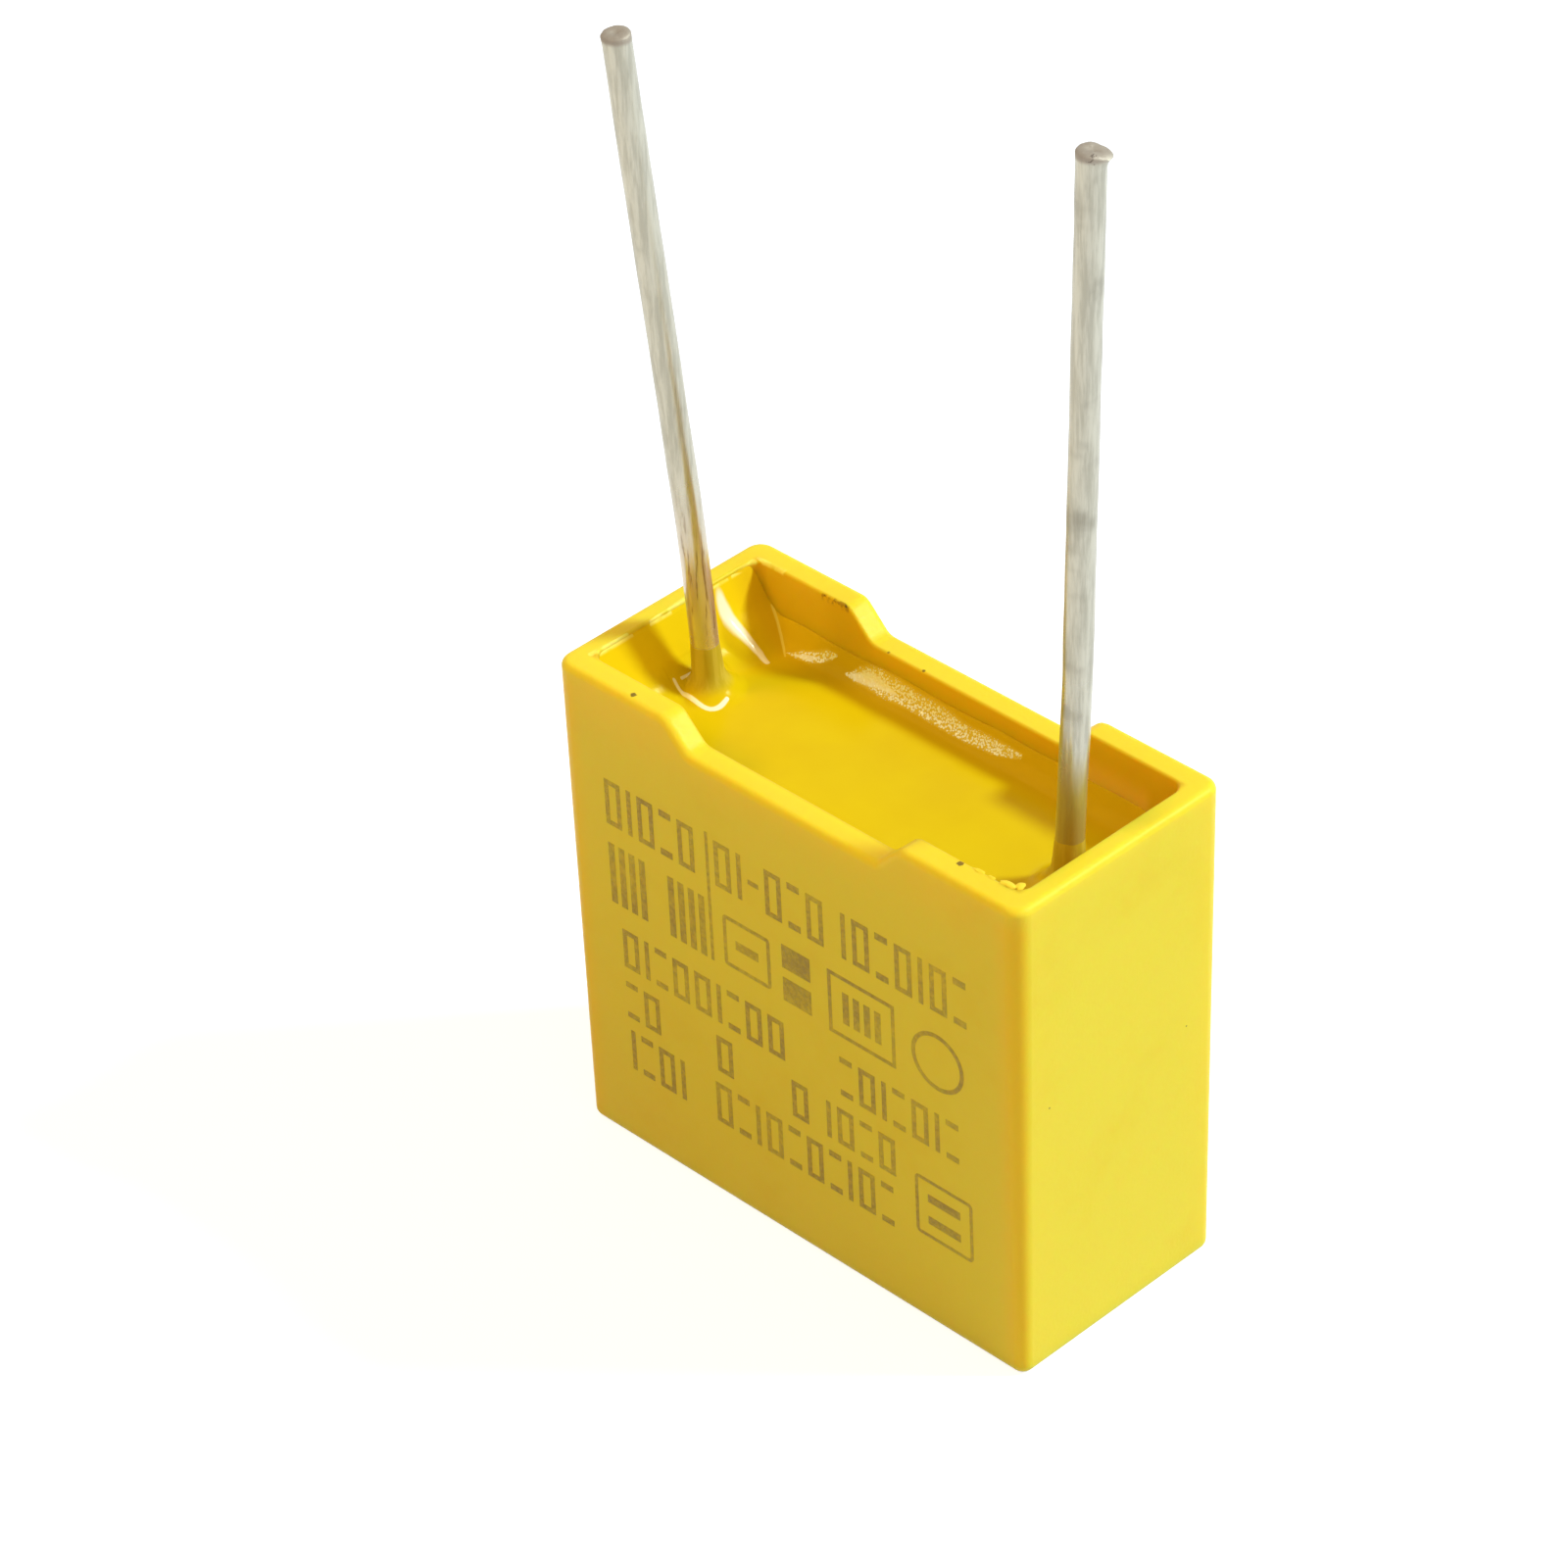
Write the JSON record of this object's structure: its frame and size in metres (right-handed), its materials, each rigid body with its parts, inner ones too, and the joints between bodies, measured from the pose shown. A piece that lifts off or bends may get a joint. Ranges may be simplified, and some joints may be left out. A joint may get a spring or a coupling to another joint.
{
  "type": "safety capacitor",
  "caption": "Box-type film safety capacitor: drafted moulded case with standoff feet, potted open end and straight tinned wire leads.",
  "frame": {"origin": "centre of the closed base, which the part stands on", "axes": "+Z from the base towards the open, potted end and along the leads, +X along the lead pitch, -Y towards the printed long side"},
  "size_m": [0.013, 0.006, 0.0274],
  "materials": {
    "case": "satin moulded",
    "potting_resin": "glossy cast",
    "film": "metallised film",
    "spray_metal": "rough sprayed",
    "tinned_wire": "dull tinned"
  },
  "bodies": {
    "root": {"case": "case", "potting_resin": "potting_resin", "film_winding": "film", "end_spray_left": "spray_metal", "end_spray_right": "spray_metal", "lead_left": "tinned_wire", "lead_right": "tinned_wire"}
  },
  "joints": []
}
